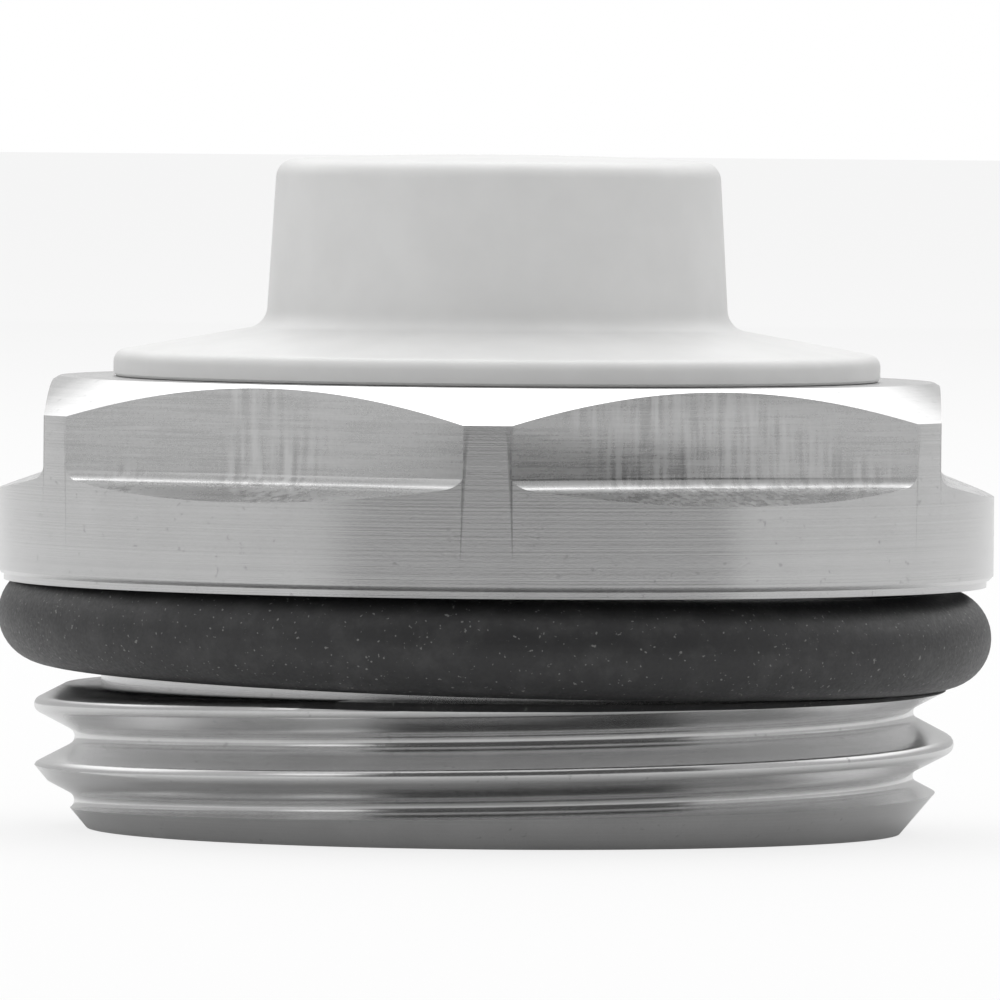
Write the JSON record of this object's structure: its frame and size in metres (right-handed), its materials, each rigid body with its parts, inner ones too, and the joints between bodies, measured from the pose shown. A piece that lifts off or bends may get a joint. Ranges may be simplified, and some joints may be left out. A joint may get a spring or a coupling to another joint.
{
  "type": "radiator bleed valve",
  "caption": "Plated radiator end plug with hexagon, flange, rubber ring and pipe thread, and a white hand-turned vent knob with a fibre-disc cartridge and check valve.",
  "frame": {"origin": "middle of the pipe thread's end face, which the part stands on in the picture", "axes": "+Z along the axis from the pipe thread to the knob, -Y towards the picture's camera, one hexagon corner close to -Y"},
  "size_m": [0.036, 0.036, 0.0244],
  "materials": {
    "plated_metal": "bright plating over turned and milled brass, with fine tool marks",
    "white_plastic": "moulded white plastic with a fine satin surface",
    "black_rubber": "black rubber with faint dust",
    "turned_brass": "plain turned brass",
    "spring_steel": "bright spring steel",
    "pressed_fibre": "pressed cellulose fibre"
  },
  "bodies": {
    "valve_body": {"valve_body": "plated_metal", "flange_seal": "black_rubber", "seat_gasket": "black_rubber", "check_spring": "spring_steel", "spring_seat": "turned_brass", "inlet_strainer": "spring_steel", "inlet_ring": "spring_steel"},
    "check_plunger": {"check_plunger": "turned_brass", "check_seal": "black_rubber"},
    "knob": {"knob": "white_plastic", "vent_stem": "turned_brass", "knob_clip": "spring_steel", "stem_seal": "black_rubber", "spring_washer": "spring_steel", "cartridge_plate": "turned_brass", "cartridge_ring": "spring_steel", "fibre_disc_1": "pressed_fibre", "fibre_disc_2": "pressed_fibre", "fibre_disc_3": "pressed_fibre", "fibre_disc_4": "pressed_fibre", "fibre_disc_5": "pressed_fibre", "fibre_disc_6": "pressed_fibre"}
  },
  "joints": [
    {"name": "plunger_lift", "type": "slide", "parent": "valve_body", "child": "check_plunger", "axis": [0, 0, 1], "range_m": [0, 0.001], "deforming": ["check_spring"]},
    {"name": "knob_turn", "type": "hinge", "parent": "check_plunger", "child": "knob", "pos_m": [0, 0, 0.0163], "axis": [0, 0, 1], "range_deg": [0, 360]}
  ],
  "couplings": [
    {"joint": "knob_turn", "follows": "plunger_lift", "rad_per_m": 6283.2}
  ]
}
